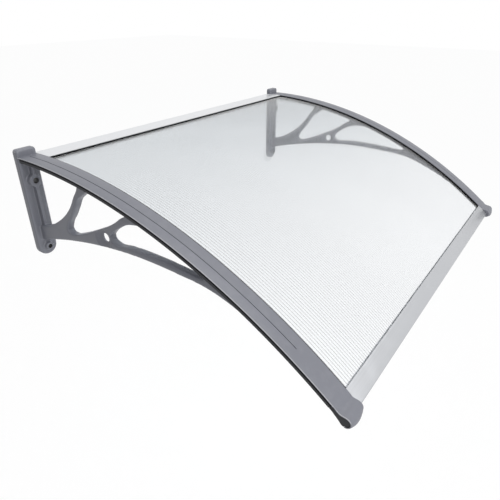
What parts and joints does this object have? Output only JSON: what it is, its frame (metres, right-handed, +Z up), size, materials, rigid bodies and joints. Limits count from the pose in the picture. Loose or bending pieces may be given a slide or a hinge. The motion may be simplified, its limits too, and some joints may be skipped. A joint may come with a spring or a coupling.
{
  "type": "door canopy",
  "caption": "Door canopy: a clear twin-wall sheet bent over an arc, held by moulded wall brackets with open struts, with aluminium bars along the wall and the front edge.",
  "frame": {"origin": "on the wall, in the middle of the canopy's width, on the back face of the rear bar, 14.5 mm below the crown of the roof", "axes": "+X along the width of the canopy, +Y into the wall, +Z up; the roof reaches out along -Y"},
  "size_m": [1, 0.8056, 0.2951],
  "materials": {
    "bracket_plastic": "satin grey moulded plastic with a fine grain",
    "clear_sheet": "clear twin-wall polycarbonate with fine ribs from the wall to the front",
    "bar_aluminium": "pale satin anodised extrusion",
    "seal_rubber": "black soft seal strip"
  },
  "bodies": {
    "root": {"left_bracket": "bracket_plastic", "right_bracket": "bracket_plastic", "roof_sheet": "clear_sheet", "rear_bar": "bar_aluminium", "front_bar": "bar_aluminium", "rear_seal": "seal_rubber", "front_seal": "seal_rubber", "left_seal": "seal_rubber", "right_seal": "seal_rubber"}
  },
  "joints": []
}
